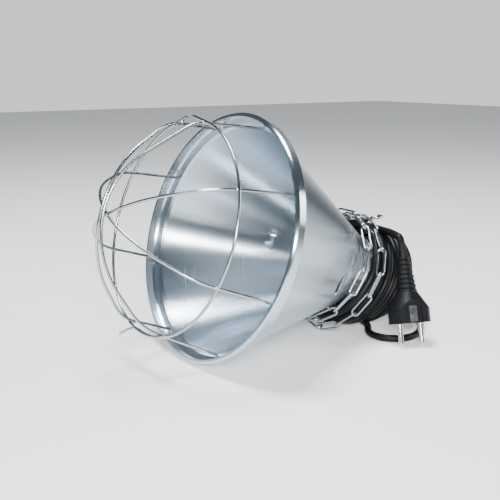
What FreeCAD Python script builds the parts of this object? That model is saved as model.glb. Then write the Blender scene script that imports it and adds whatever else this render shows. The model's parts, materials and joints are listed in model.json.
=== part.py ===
"""Heat lamp fixture for poultry and small livestock, lying on its rim and on the cord coiled round its neck.

Row frame: millimetres, +Z up, the floor at z = 0, +X along the lamp from the mouth to the neck.
Lamp frame: z runs along the lamp's axis from the mouth (0) to the neck, x points down, y is the row's +Y.
Every piece of the lamp is made in the lamp frame and seated by one Placement that leans it onto the floor.
"""
import FreeCAD, Part
import math
import os
import Sketcher
from FreeCAD import Placement, Rotation, Vector

doc = FreeCAD.newDocument("heat_lamp")
sheet = doc.addObject("Spreadsheet::Sheet", "Dims")

DIMENSIONS = [
    # how the lamp lies
    ("mouth_x", -43.0),
    ("lie_angle", 16.9),
    # spun shade
    ("sheet_wall", 0.8),
    ("lip_radius", 101.6),
    ("lip_outer_radius", 103.7),
    ("band_radius", 105.2),
    ("band_front", 1.7),
    ("band_back", 8.0),
    ("cone_apex_radius", 103.3),
    ("cone_slope", 0.468),
    ("cone_front", 13.6),
    ("collar_radius", 30.0),
    ("collar_end", 168.0),
    ("rim_fillet", 1.2),
    # punched louvres
    ("louvre_place", 106.0),
    ("louvre_radius", 10.2),
    ("louvre_length", 5.0),
    ("louvre_sink", 5.6),
    # wire guard
    ("guard_wire_radius", 1.2),
    ("foot_radius", 97.6),
    ("foot_reach", 101.2),
    ("foot_place", 8.5),
    ("foot_bend", 2.6),
    ("hoop_place", -41.0),
    ("wire_at_hoop", 86.0),
    ("hoop_radius", 87.9),
    ("hoop_overlap_shift", 2.3),
    ("hoop_spring_run", 22.0),
    ("guard_depth", 97.4),
    ("wire_stack", 2.3),
    ("crown_half_width", 35.0),
    ("shoulder_run", 15.5),
    ("flat_half_width", 30.2),
    ("flat_shoulder_run", 7.5),
    # neck cap
    ("cap_radius", 30.9),
    ("cap_inner_radius", 30.1),
    ("cap_start", 160.0),
    ("cap_end", 186.0),
    ("cap_wall", 1.0),
    ("cap_fillet", 3.0),
    ("vent_count", 10),
    ("vent_width", 5.0),
    ("vent_start", 171.0),
    ("vent_length", 9.0),
    ("cap_screw_place", 164.5),
    ("cap_screw_radius", 1.45),
    ("cap_screw_head_radius", 2.8),
    ("cap_screw_head_height", 1.5),
    # lampholder
    ("holder_radius", 22.0),
    ("holder_front", 128.0),
    ("holder_floor", 158.0),
    ("holder_floor_back", 163.0),
    ("holder_back", 170.0),
    ("holder_mouth_radius", 14.4),
    ("holder_chamber_radius", 18.5),
    ("stem_hole_radius", 2.1),
    ("shell_radius", 13.9),
    ("shell_bore_radius", 13.4),
    ("shell_seat_radius", 10.6),
    ("shell_front", 134.0),
    ("shell_bore_end", 149.8),
    ("button_radius", 4.5),
    ("button_front", 151.0),
    ("button_back", 153.0),
    ("stem_radius", 1.95),
    ("stem_end", 166.0),
    ("contact_spring_radius", 3.4),
    ("contact_spring_wire", 0.4),
    ("contact_spring_pitch", 1.1),
    ("contact_spring_length", 2.6),
    ("terminal_offset", 11.5),
    ("terminal_screw_radius", 1.5),
    # bracket
    ("bracket_width", 12.0),
    ("bracket_half_length", 20.0),
    ("bracket_wall", 1.5),
    ("bracket_screw_offset", 15.5),
    # cord gland and cord
    ("cord_radius", 3.3),
    ("gland_thread_radius", 6.0),
    ("gland_flange_end", 189.5),
    ("gland_inner_end", 179.0),
    ("gland_exit", 200.0),
    ("inner_cord_start", 176.0),
    ("lead_radius", 1.1),
    # coil of cord round the neck
    ("coil_clearance", 1.4),
    ("neck_room", 33.2),
    # chain
    ("chain_wire_radius", 1.0),
    ("chain_pitch", 22.0),
    ("chain_half_width", 3.1),
    ("link_play", 0.3),
    ("eye_wall", 1.5),
    ("eye_hole_radius", 2.3),
    ("eye_radius", 4.6),
    ("eye_rivet_place", 7.0),
    ("hook_wire_radius", 1.5),
    ("hook_small_radius", 4.2),
    ("hook_large_radius", 5.2),
    ("hook_rise", 20.0),
    ("hook_play", 0.4),
    # plug
    ("plug_turn", -26.1),
    ("plug_lean", 1.8),
    ("plug_back", 18.0),
    ("plug_x", 157.6),
    ("plug_y", -75.0),
    ("plug_z", 18.75),
    ("plug_head_radius", 18.3),
    ("plug_head_depth", 27.0),
    ("plug_head_height", 12.5),
    ("plug_shoulder_end", 27.0),
    ("plug_grip_radius", 9.2),
    ("plug_end_radius", 5.4),
    ("plug_length", 59.0),
    ("grip_grooves", 7),
    ("pin_radius", 2.4),
    ("pin_stub_radius", 2.0),
    ("pin_stub_length", 8.0),
    ("pin_tip_length", 1.2),
    ("pin_length", 19.0),
    ("pin_spacing", 19.0),
]


class Size:
    """A length or ratio: its present value, and the expression that gives it from the spreadsheet."""

    def __init__(self, value, text):
        self.value = value
        self.text = text

    def _join(self, sign, other, value):
        return Size(value, "(%s %s %s)" % (self.text, sign, other.text))

    def __add__(self, other):
        other = as_size(other)
        return self._join("+", other, self.value + other.value)

    def __radd__(self, other):
        return as_size(other) + self

    def __sub__(self, other):
        other = as_size(other)
        return self._join("-", other, self.value - other.value)

    def __rsub__(self, other):
        return as_size(other) - self

    def __mul__(self, other):
        other = as_size(other)
        return self._join("*", other, self.value * other.value)

    def __rmul__(self, other):
        return as_size(other) * self

    def __truediv__(self, other):
        other = as_size(other)
        return self._join("/", other, self.value / other.value)

    def __float__(self):
        return float(self.value)


def as_size(number):
    return number if isinstance(number, Size) else Size(float(number), repr(float(number)))


def cosine(angle):
    return Size(math.cos(math.radians(angle.value)), "cos(%s * 1 deg)" % angle.text)


def sine(angle):
    return Size(math.sin(math.radians(angle.value)), "sin(%s * 1 deg)" % angle.text)


class Dimensions:
    """The spreadsheet's cells by their alias, as Sizes."""

    def __init__(self):
        for row, (alias, value) in enumerate(DIMENSIONS, start=1):
            sheet.set("A%d" % row, alias)
            sheet.set("B%d" % row, repr(value))
            sheet.setAlias("B%d" % row, alias)
            setattr(self, alias, Size(float(value), "Dims." + alias))


D = Dimensions()
doc.recompute()

MOUTH_HEIGHT = D.band_radius * cosine(D.lie_angle) + D.band_back * sine(D.lie_angle)
MOUTH = Vector(float(D.mouth_x), 0, 0)
LAMP_TURN = Rotation(Vector(0, 1, 0), 90 + float(D.lie_angle))
LAMP = Placement(MOUTH + Vector(0, 0, float(MOUTH_HEIGHT)), LAMP_TURN)
AXIS = LAMP.Rotation.multVec(Vector(0, 0, 1))
nodes = []


# ---------------------------------------------------------------- helpers

def node(obj, name):
    """Register an object as a sub-part: its Label is the name of its file."""
    obj.Label = name
    nodes.append(obj)
    return obj


def bind(obj, **sizes):
    for prop, size in sizes.items():
        size = as_size(size)
        setattr(obj, prop, size.value)
        obj.setExpression(prop, size.text)
    return obj


def seat(obj):
    """Lean a piece made in the lamp frame onto the floor."""
    obj.Placement = LAMP
    obj.setExpression("Placement.Base.x", D.mouth_x.text)
    obj.setExpression("Placement.Base.z", MOUTH_HEIGHT.text)
    obj.setExpression("Placement.Rotation.Angle", "(90 + Dims.lie_angle) * 1 deg")
    return obj


def place(obj, x=0.0, y=0.0, z=0.0, rotation=None):
    """Put a primitive somewhere in its own frame, with the position bound to the sheet."""
    x, y, z = as_size(x), as_size(y), as_size(z)
    obj.Placement = Placement(Vector(x.value, y.value, z.value), rotation or Rotation())
    for letter, size in (("x", x), ("y", y), ("z", z)):
        obj.setExpression("Placement.Base." + letter, size.text)
    return obj


def put(obj, placement):
    """Give a primitive a worked-out place, free of the sheet."""
    for letter in "xyz":
        obj.setExpression("Placement.Base." + letter, None)
    obj.Placement = placement
    return obj


def polar(radius, degrees, along=0.0):
    turn = math.radians(degrees)
    return Vector(float(radius) * math.cos(turn), float(radius) * math.sin(turn), float(along))


def cylinder(name, radius, height, **where):
    obj = doc.addObject("Part::Cylinder", name)
    bind(obj, Radius=radius, Height=height)
    return place(obj, **where)


def cone(name, radius_1, radius_2, height, **where):
    obj = doc.addObject("Part::Cone", name)
    bind(obj, Radius1=radius_1, Radius2=radius_2, Height=height)
    return place(obj, **where)


def box(name, length, width, height, x=0.0, y=0.0, z=0.0, centred=True):
    """A box, centred in x and y unless told otherwise, standing on z."""
    obj = doc.addObject("Part::Box", name)
    bind(obj, Length=length, Width=width, Height=height)
    if centred:
        x = as_size(x) - as_size(length) / 2
        y = as_size(y) - as_size(width) / 2
    return place(obj, x=x, y=y, z=z)


def prism(name, across_flats, height, **where):
    obj = doc.addObject("Part::Prism", name)
    obj.Polygon = 6
    bind(obj, Circumradius=as_size(across_flats) / math.sqrt(3), Height=height)
    return place(obj, **where)


def cut(name, base, tool):
    obj = doc.addObject("Part::Cut", name)
    obj.Base, obj.Tool = base, tool
    return obj


def fuse(name, pieces):
    obj = doc.addObject("Part::MultiFuse", name)
    obj.Shapes = pieces
    return obj


def common(name, pieces):
    obj = doc.addObject("Part::MultiCommon", name)
    obj.Shapes = pieces
    return obj


def group(name, pieces):
    """Separate solids in one object."""
    obj = doc.addObject("Part::Compound", name)
    obj.Links = pieces
    return obj


def feature(name, shape):
    obj = doc.addObject("Part::Feature", name)
    obj.Shape = shape
    return obj


def origin_plane(body, role):
    return [item for item in body.Origin.OriginFeatures if item.Role == role][0]


def outline(body, name, points):
    """A closed polygon sketched on a body's XZ plane, every corner bound to the sheet."""
    sketch = body.newObject("Sketcher::SketchObject", name)
    sketch.AttachmentSupport = (origin_plane(body, "XZ_Plane"), [""])
    sketch.MapMode = "FlatFace"
    corners = [(as_size(x), as_size(y)) for x, y in points]
    count = len(corners)
    for index, (x, y) in enumerate(corners):
        next_x, next_y = corners[(index + 1) % count]
        side = Part.LineSegment(Vector(x.value, y.value, 0), Vector(next_x.value, next_y.value, 0))
        sketch.addGeometry(side)
    for index in range(count):
        sketch.addConstraint(Sketcher.Constraint("Coincident", index, 2, (index + 1) % count, 1))
    for index, corner in enumerate(corners):
        for kind, axis, size in (("DistanceX", -2, corner[0]), ("DistanceY", -1, corner[1])):
            if abs(size.value) < 1e-9:
                sketch.addConstraint(Sketcher.Constraint("PointOnObject", index, 1, axis))
                continue
            number = sketch.addConstraint(Sketcher.Constraint(kind, -1, 1, index, 1, size.value))
            sketch.setExpression("Constraints[%d]" % number, size.text)
    return sketch


def turned(name, points):
    """A body of revolution about z from (radius, z) corners."""
    body = doc.addObject("PartDesign::Body", name)
    sketch = outline(body, name + "_outline", points)
    spin = body.newObject("PartDesign::Revolution", name + "_turned")
    spin.Profile = sketch
    spin.ReferenceAxis = (sketch, ["V_Axis"])
    spin.Angle = 360
    doc.recompute()
    return body


def round_rings(body, rings, radius):
    """Fillet the circular edges of a turned body that lie at the given (radius, z) corners."""
    base = body.Tip
    names = []
    for index, edge in enumerate(base.Shape.Edges, start=1):
        curve = edge.Curve
        if not isinstance(curve, Part.Circle):
            continue
        for ring_radius, ring_z in rings:
            near_radius = abs(curve.Radius - float(ring_radius)) < 1e-4
            if near_radius and abs(curve.Center.z - float(ring_z)) < 1e-4:
                names.append("Edge%d" % index)
    fillet = body.newObject("PartDesign::Fillet", body.Name + "_round%d" % len(body.Group))
    fillet.Base = (base, names)
    bind(fillet, Radius=radius)
    doc.recompute()
    return body


def rounded_path(points, radii=None):
    """Straight runs joined by tangent arcs. With no radii, each arc is as large as its runs allow."""
    edges = []
    used = []
    start = points[0]
    for index in range(1, len(points) - 1):
        before = points[index - 1] - points[index]
        after = points[index + 1] - points[index]
        half_turn = (math.pi - before.getAngle(after)) / 2
        radius = radii[index - 1] if radii else 0.45 * min(before.Length, after.Length) / math.tan(half_turn)
        reach = radius * math.tan(half_turn)
        before.normalize()
        after.normalize()
        arc_start = points[index] + before * reach
        arc_end = points[index] + after * reach
        bisector = (before + after).normalize()
        middle = points[index] + bisector * (radius / math.cos(half_turn) - radius)
        edges.append(Part.LineSegment(start, arc_start).toShape())
        edges.append(Part.Arc(arc_start, middle, arc_end).toShape())
        used.append(radius)
        start = arc_end
    edges.append(Part.LineSegment(start, points[-1]).toShape())
    return Part.Wire(edges), used


def swept(name, wire, radius):
    """A round bar of a bound radius along a path."""
    path = feature(name + "_path", wire)
    first = wire.Edges[0]
    section = doc.addObject("Part::Circle", name + "_section")
    bind(section, Radius=radius)
    section.Placement = Placement(
        first.valueAt(first.FirstParameter),
        Rotation(Vector(0, 0, 1), first.tangentAt(first.FirstParameter)),
    )
    bar = doc.addObject("Part::Sweep", name)
    bar.Sections = [section]
    bar.Spine = (path, [])
    bar.Solid = True
    bar.Frenet = False
    doc.recompute()
    return bar


# ---------------------------------------------------------------- spun shade

def cone_radius(along):
    return D.cone_apex_radius - D.cone_slope * along


LOUVRE_ANGLES = (8.0, 98.0, 192.0, 287.0)


def make_shade():
    """Spun cone: inturned lip, band that takes the guard's feet, stepped shoulder, collar for the cap."""
    wall_across = 1.104 * D.sheet_wall
    cone_back = (D.cone_apex_radius - D.collar_radius) / D.cone_slope
    inner_back = (D.cone_apex_radius - wall_across - D.collar_radius + D.sheet_wall) / D.cone_slope
    shoulder_top = (D.band_radius - 1.3, D.band_back + 2.2)
    shoulder_foot = (D.band_radius - 6.9, D.band_back + 4.3)
    inner_top = (D.band_radius - 2.0, D.band_back + 1.6)
    inner_foot = (D.band_radius - 7.3, D.band_back + 3.6)
    band_inner = D.band_radius - D.sheet_wall
    body = turned("spun_shell", [
        (D.lip_radius, 0),
        (D.lip_outer_radius, 0),
        (D.band_radius, D.band_front),
        (D.band_radius, D.band_back),
        shoulder_top,
        shoulder_foot,
        (cone_radius(D.cone_front), D.cone_front),
        (D.collar_radius, cone_back),
        (D.collar_radius, D.collar_end),
        (D.collar_radius - D.sheet_wall, D.collar_end),
        (D.collar_radius - D.sheet_wall, inner_back),
        (cone_radius(D.cone_front) - wall_across, D.cone_front),
        inner_foot,
        inner_top,
        (band_inner, D.band_back - 0.2),
        (band_inner, D.band_front + 0.4),
        (D.lip_outer_radius - 0.5, D.sheet_wall),
        (D.lip_radius, D.sheet_wall),
    ])
    round_rings(body, [(D.band_radius, D.band_front), (D.band_radius, D.band_back), shoulder_top,
                       (D.lip_outer_radius, 0)], D.rim_fillet)

    openings, scoops = [], []
    radius = cone_radius(D.louvre_place) - D.sheet_wall / 2
    lean = math.degrees(math.atan(float(D.cone_slope)))
    for index, angle in enumerate(LOUVRE_ANGLES):
        # louvre frame: x out of the wall, y round the cone, z along the wall towards the neck
        frame = Placement(polar(radius, angle, D.louvre_place), Rotation(Vector(0, 0, 1), angle))
        frame = frame * Placement(Vector(), Rotation(Vector(0, 1, 0), -lean))
        openings.append(louvre_blank("louvre_opening_%d" % index, D.louvre_radius - D.sheet_wall, frame))
        outer = louvre_blank("louvre_outer_%d" % index, D.louvre_radius, frame)
        inner = louvre_blank("louvre_inner_%d" % index, D.louvre_radius - D.sheet_wall, frame)
        scoops.append(cut("louvre_scoop_%d" % index, outer, inner))
    inside = cone("louvre_limit", cone_radius(90) - 0.3, cone_radius(120) - 0.3, 30, z=90)
    scoops = common("louvre_scoops", [fuse("louvre_shells", scoops), inside])
    pierced = cut("pierced_shell", body, group("louvre_openings", openings))
    drilled = cut("drilled_shell", pierced, group("shell_holes", [
        screw_holes("collar_holes"), rivet_hole("eye_rivet_bore", D.sheet_wall + 0.8)]))
    return node(seat(fuse("shade", [drilled, scoops])), "shade")


def louvre_blank(name, radius, frame):
    """Half capsule: the front half of a rod with round ends, lying round the cone just under its skin."""
    half = float(D.louvre_length) / 2
    bar = cylinder(name + "_bar", radius, D.louvre_length, rotation=Rotation(Vector(1, 0, 0), -90))
    bar.Placement.Base = Vector(0, -half, 0)
    bar.setExpression("Placement.Base.y", (D.louvre_length * -0.5).text)
    ends = []
    for side in (-1, 1):
        end = doc.addObject("Part::Sphere", "%s_end%d" % (name, side + 1))
        bind(end, Radius=radius)
        ends.append(place(end, y=D.louvre_length * (0.5 * side)))
    keep = box(name + "_front", 30, 40, 15, z=-15)
    blank = common(name, [fuse(name + "_rod", [bar] + ends), keep])
    blank.Placement = frame * Placement(Vector(float(D.louvre_sink), 0, 0), Rotation())
    return blank


CAP_SCREW_ANGLES = (38.0, 158.0, 278.0)


def screw_holes(name):
    holes = []
    for index, angle in enumerate(CAP_SCREW_ANGLES):
        hole = cylinder("%s_%d" % (name, index), D.cap_screw_radius + 0.05, 8)
        holes.append(put(hole, radial_frame(27.0, angle, D.cap_screw_place)))
    return group(name, holes)


def radial_frame(radius, angle, along):
    """A frame whose z points straight out from the axis."""
    out = polar(1, angle)
    return Placement(polar(radius, angle, along), Rotation(Vector(0, 0, 1), out))


# ---------------------------------------------------------------- neck cap

def make_neck_cap():
    """Drawn aluminium cap over the collar, with a ring of vent slots and a hole for the cord gland."""
    body = turned("cap_cup", [
        (D.gland_thread_radius + 0.15, D.cap_end),
        (D.gland_thread_radius + 0.15, D.cap_end - D.cap_wall),
        (D.cap_inner_radius, D.cap_end - D.cap_wall),
        (D.cap_inner_radius, D.cap_start),
        (D.cap_radius, D.cap_start),
        (D.cap_radius, D.cap_end),
    ])
    round_rings(body, [(D.cap_radius, D.cap_end)], D.cap_fillet)
    round_rings(body, [(D.cap_inner_radius, D.cap_end - D.cap_wall)], D.cap_fillet - D.cap_wall)
    slots = []
    count = int(float(D.vent_count))
    for index in range(count):
        slot = box("vent_%d" % index, D.vent_length, D.vent_width, 10)
        corner = Placement(Vector(-float(D.vent_length), -float(D.vent_width) / 2, 0), Rotation())
        slots.append(put(slot, radial_frame(26.0, 18.0 + index * 360.0 / count, D.vent_start) * corner))
    vented = cut("vented_cap", body, group("vents", slots))
    drilled = cut("drilled_cap", vented, screw_holes("cap_holes"))
    rivet_holes = [cylinder("cap_rivet_hole_%d" % side, 1.65, 6, x=side * D.bracket_screw_offset,
                            z=D.cap_end - 3) for side in (-1, 1)]
    cap = cut("neck_cap", drilled, group("cap_rivet_holes", rivet_holes))
    node(seat(cap), "neck_cap")

    screws = []
    for index, angle in enumerate(CAP_SCREW_ANGLES):
        shank = cylinder("cap_screw_shank_%d" % index, D.cap_screw_radius, 6.5)
        head = cylinder("cap_screw_head_%d" % index, D.cap_screw_head_radius, D.cap_screw_head_height)
        place(head, z=6.0)
        recess = box("cap_screw_slot_%d" % index, 4.2, 0.7, 1.0, z=6.0 + D.cap_screw_head_height - 0.7)
        screw = cut("cap_screw_%d" % index, fuse("cap_screw_blank_%d" % index, [shank, head]), recess)
        screw.Placement = radial_frame(float(D.cap_radius) - 6.0, angle, D.cap_screw_place)
        screws.append(screw)
    node(seat(group("cap_screws", screws)), "cap_screws")


# ---------------------------------------------------------------- lampholder

def make_lampholder():
    """Ceramic screw lampholder: body, brass shell, sprung centre contact, two terminals."""
    body = turned("holder_turned", [
        (D.holder_mouth_radius, D.holder_front),
        (D.holder_radius - 2.5, D.holder_front),
        (D.holder_radius, D.holder_front + 4),
        (D.holder_radius, D.holder_back),
        (D.holder_chamber_radius, D.holder_back),
        (D.holder_chamber_radius, D.holder_floor_back),
        (D.stem_hole_radius, D.holder_floor_back),
        (D.stem_hole_radius, D.holder_floor),
        (D.holder_mouth_radius, D.holder_floor),
    ])
    round_rings(body, [(D.holder_radius, D.holder_back)], as_size(1.2))
    bosses = [cylinder("boss_%d" % side, 3.6, D.holder_back - D.holder_floor_back + 0.5,
                       x=side * D.bracket_screw_offset, z=D.holder_floor_back - 0.5) for side in (-1, 1)]
    bored = [cylinder("boss_bore_%d" % side, 1.5, 9, x=side * D.bracket_screw_offset, z=D.holder_back - 8)
             for side in (-1, 1)]
    ceramic = cut("holder_body", fuse("holder_bossed", [body] + bosses), group("boss_bores", bored))
    node(seat(ceramic), "holder_body")

    shell = turned("screw_shell", [
        (D.shell_bore_radius, D.shell_front),
        (D.shell_radius, D.shell_front),
        (D.shell_radius, D.shell_bore_end + 0.3),
        (D.shell_seat_radius + 0.5, D.holder_floor),
        (8, D.holder_floor),
        (8, D.holder_floor - 0.5),
        (D.shell_seat_radius, D.holder_floor - 0.5),
        (D.shell_bore_radius, D.shell_bore_end),
    ])
    node(seat(shell), "screw_shell")

    contact = turned("centre_contact", [
        (0, D.button_front),
        (D.button_radius - 1.8, D.button_front),
        (D.button_radius, D.button_front + 0.9),
        (D.button_radius, D.button_back),
        (D.stem_radius, D.button_back),
        (D.stem_radius, D.stem_end - 1.0),
        (3.2, D.stem_end - 1.0),
        (3.2, D.stem_end),
        (0, D.stem_end),
    ])
    node(seat(contact), "centre_contact")

    # the spring's free length below the button leaves its travel open, down to the ceramic floor
    helix = doc.addObject("Part::Helix", "contact_spring_path")
    bind(helix, Radius=D.contact_spring_radius, Pitch=D.contact_spring_pitch, Height=D.contact_spring_length)
    section = doc.addObject("Part::Circle", "contact_spring_section")
    bind(section, Radius=D.contact_spring_wire)
    place(section, x=D.contact_spring_radius, rotation=Rotation(Vector(1, 0, 0), 90))
    spring = doc.addObject("Part::Sweep", "contact_spring")
    spring.Sections = [section]
    spring.Spine = (helix, [])
    spring.Solid = True
    spring.Frenet = True
    doc.recompute()
    behind_button = Vector(0, 0, float(D.button_back + D.contact_spring_wire))
    spring.Placement = LAMP * Placement(behind_button, Rotation())
    node(spring, "contact_spring")

    for side, name in ((-1, "live_terminal"), (1, "neutral_terminal")):
        block = box(name + "_block", 11, 6.5, 5.5, y=side * D.terminal_offset, z=D.holder_floor_back)
        hole = cylinder(name + "_hole", D.terminal_screw_radius, 8, x=2.8, y=side * D.terminal_offset,
                        z=D.holder_floor_back)
        node(seat(cut(name, block, hole)), name)
    screws = []
    for side in (-1, 1):
        where = {"x": 2.8, "y": side * D.terminal_offset}
        shank = cylinder("terminal_shank_%d" % side, D.terminal_screw_radius, 5.5,
                         z=D.holder_floor_back, **where)
        head = cylinder("terminal_head_%d" % side, 2.4, 1.4, z=D.holder_floor_back + 5.5, **where)
        screws.append(fuse("terminal_screw_%d" % side, [shank, head]))
    node(seat(group("terminal_screws", screws)), "terminal_screws")


# ---------------------------------------------------------------- bracket

def make_bracket():
    """Steel strap that carries the lampholder from the cap's end wall, with its screws, rivets and earth."""
    wall = D.bracket_wall
    half = D.bracket_half_length
    top = D.cap_end - D.cap_wall
    base = box("bracket_base", 2 * half, D.bracket_width, wall, z=D.holder_back)
    legs, feet = [], []
    for side in (-1, 1):
        legs.append(box("bracket_leg_%d" % side, wall, D.bracket_width, top - D.holder_back,
                        x=side * (half - wall / 2), z=D.holder_back))
        feet.append(box("bracket_foot_%d" % side, 8, D.bracket_width, wall,
                        x=side * (half - 4), z=top - wall))
    holes = [cylinder("bracket_hole_%d" % side, 1.65, 30, x=side * D.bracket_screw_offset,
                      z=D.holder_back - 5) for side in (-1, 1)]
    relief = box("bracket_relief", 16, 8, 8, z=D.holder_back - 3)
    earth_hole = cylinder("bracket_earth_hole", 2.05, 6, rotation=Rotation(Vector(0, 1, 0), 90))
    place(earth_hole, x=half - 4, z=D.holder_back + 7, rotation=Rotation(Vector(0, 1, 0), 90))
    solid = fuse("bracket_solid", [base] + legs + feet)
    openings = group("bracket_holes", holes + [earth_hole, relief])
    node(seat(cut("holder_bracket", solid, openings)), "holder_bracket")

    screws, rivets = [], []
    for side in (-1, 1):
        offset = side * D.bracket_screw_offset
        shank = cylinder("bracket_shank_%d" % side, 1.45, 7.5 + wall, x=offset, z=D.holder_back - 7.5)
        head = cylinder("bracket_head_%d" % side, 2.7, 1.8, x=offset, z=D.holder_back + wall)
        screws.append(fuse("bracket_screw_%d" % side, [shank, head]))
        body = cylinder("rivet_body_%d" % side, 1.6, wall + D.cap_wall + 1, x=offset, z=top - wall - 0.8)
        dome = cylinder("rivet_dome_%d" % side, 3.0, 0.9, x=offset, z=D.cap_end)
        tail = cylinder("rivet_tail_%d" % side, 2.4, 1.0, x=offset, z=top - wall - 1.0)
        rivets.append(fuse("cap_rivet_%d" % side, [body, dome, tail]))
    node(seat(group("bracket_screws", screws)), "bracket_screws")
    node(seat(group("cap_rivets", rivets)), "cap_rivets")

    along_x = Rotation(Vector(0, 1, 0), 90)
    earth_z = D.holder_back + 7
    shank = cylinder("earth_shank", 1.95, 7, x=half - 5.4, z=earth_z, rotation=along_x)
    head = cylinder("earth_head", 3.4, 2.0, x=half - 7.4, z=earth_z, rotation=along_x)
    node(seat(fuse("earth_screw", [shank, head])), "earth_screw")
    washer = cylinder("earth_washer_disc", 4.0, 0.9, x=half - wall - 0.9, z=earth_z, rotation=along_x)
    washer_hole = cylinder("earth_washer_hole", 2.0, 3, x=half - wall - 2, z=earth_z, rotation=along_x)
    node(seat(cut("earth_washer", washer, washer_hole)), "earth_washer")
    tag_disc = cylinder("earth_tag_disc", 4.0, 0.9, x=half - wall - 1.8, z=earth_z, rotation=along_x)
    tag_tail = box("earth_tag_tail", 0.9, 3.0, 6.2, x=half - wall - 1.35, y=3.4, z=earth_z)
    tag_hole = cylinder("earth_tag_hole", 2.0, 4, x=half - wall - 3.5, z=earth_z, rotation=along_x)
    node(seat(cut("earth_tag", fuse("earth_tag_blank", [tag_disc, tag_tail]), tag_hole)), "earth_tag")


# ---------------------------------------------------------------- cord gland and inner leads

def make_gland():
    thread = D.gland_thread_radius
    bore = D.cord_radius + 0.35
    flange = prism("gland_flange", 17, D.gland_flange_end - D.cap_end, z=D.cap_end)
    tube = cylinder("gland_tube", thread, D.gland_flange_end + 5 - D.gland_inner_end, z=D.gland_inner_end)
    inner = cylinder("gland_bore", bore, 40, z=D.gland_inner_end - 5)
    seal_seat = cylinder("gland_seal_seat", 4.9, 6, z=D.gland_flange_end)
    body = cut("gland_body", fuse("gland_blank", [flange, tube]), group("gland_bores", [inner, seal_seat]))
    node(seat(body), "gland_body")
    nut = prism("locknut_blank", 16, 2.8, z=D.cap_end - D.cap_wall - 2.8)
    nut_hole = cylinder("locknut_hole", thread, 6, z=D.cap_end - D.cap_wall - 4)
    node(seat(cut("gland_locknut", nut, nut_hole)), "gland_locknut")
    seal = turned("gland_seal", [
        (D.cord_radius, D.gland_flange_end),
        (4.9, D.gland_flange_end),
        (4.9, D.gland_flange_end + 5),
        (4.5, D.gland_flange_end + 7),
        (D.cord_radius, D.gland_flange_end + 7),
    ])
    node(seat(seal), "gland_seal")
    dome = turned("dome_turned", [
        (thread, D.gland_flange_end + 0.6),
        (8.2, D.gland_flange_end + 0.6),
        (8.2, D.gland_exit - 3.2),
        (5.6, D.gland_exit),
        (D.cord_radius + 0.3, D.gland_exit),
        (D.cord_radius + 0.3, D.gland_flange_end + 7.4),
        (thread, D.gland_flange_end + 6.0),
    ])
    flats = prism("dome_flats", 15.4, 12, z=D.gland_flange_end + 0.1)
    node(seat(common("gland_dome_nut", [dome, flats])), "gland_dome_nut")


def make_inner_cord():
    """The jacket inside the gland, and the three cores from where it is stripped to their terminals."""
    stub = turned("inner_jacket", [
        (0, D.inner_cord_start),
        (D.cord_radius, D.inner_cord_start),
        (D.cord_radius, D.gland_exit),
        (0, D.gland_exit),
    ])
    node(seat(stub), "inner_jacket")
    start = float(D.inner_cord_start)
    block_top = float(D.holder_floor_back) + 5.5
    reach = float(D.terminal_offset)
    for side, name in ((-1, "live_core"), (1, "neutral_core")):
        points = [
            Vector(-0.7, side * 1.3, start),
            Vector(-1.2, side * 1.8, start - 1.8),
            Vector(-2.0, side * 8.4, start - 3.0),
            Vector(-2.8, side * reach, start - 4.2),
            Vector(-2.8, side * reach, block_top),
        ]
        wire, _ = rounded_path(points)
        node(seat(swept(name, wire, D.lead_radius)), name)
    earth_x = float(D.bracket_half_length - D.bracket_wall) - 2.9
    points = [
        Vector(1.5, 0, start),
        Vector(3.0, 0.6, start - 1.6),
        Vector(8.0, 2.6, start - 0.6),
        Vector(11.6, 3.4, start + 2.6),
        Vector(earth_x - 0.05, 3.4, float(D.holder_back) + 12.6),
    ]
    wire, _ = rounded_path(points)
    node(seat(swept("earth_core", wire, D.lead_radius)), "earth_core")


# ---------------------------------------------------------------- wire guard

# each wire's two feet, as angles round the mouth from straight down, and whether its shoulder over the first
# foot has been pressed flatter, in the order that the wires are stacked
GUARD_WIRES = (
    ("guard_wire_a", 241.0, 69.5, False),
    ("guard_wire_b", 115.5, 292.0, False),
    ("guard_wire_c", 194.0, 339.5, True),
    ("guard_wire_d", 157.0, 24.5, False),
)


def guard_wire_path(first_angle, second_angle, flat, crown):
    """One wire in its own plane: foot, leg past the hoop, shoulder, crown over the pole, and back down."""
    feet = [polar(D.foot_radius, angle, D.foot_place) for angle in (first_angle, second_angle)]
    pole = Vector(0, 0, -crown)
    middle = (feet[0] + feet[1]) / 2
    across = (feet[1] - feet[0]).normalize()
    up = pole - middle
    up = (up - across * up.dot(across))
    height = up.Length
    up.normalize()
    half = []
    runs = [float(D.flat_shoulder_run if flat else D.shoulder_run), float(D.shoulder_run)]
    widths = [float(D.flat_half_width if flat else D.crown_half_width), float(D.crown_half_width)]
    for foot, outward, run, width in zip(feet, (across * -1, across), runs, widths):
        at_hoop = hoop_crossing(middle, up, across, foot)
        leg = (at_hoop - foot).normalize()
        shoulder = at_hoop + leg * run
        crown_corner = middle + outward * width + up * height
        reach = stub_reach(foot, outward)
        half.append([foot + outward * reach, foot, shoulder, crown_corner])
    points = half[0] + half[1][::-1]
    bend = float(D.foot_bend)
    radii = []
    for index in range(1, len(points) - 1):
        before = points[index - 1] - points[index]
        after = points[index + 1] - points[index]
        half_turn = (math.pi - before.getAngle(after)) / 2
        side = 0 if index < len(points) / 2 else 1
        if index in (1, len(points) - 2):
            radii.append(bend)
        elif index in (2, len(points) - 3):
            radii.append(0.98 * runs[side] / math.tan(half_turn))
        else:
            radii.append(0.99 * widths[side] / math.tan(half_turn))
    return rounded_path(points, radii)[0]


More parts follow.
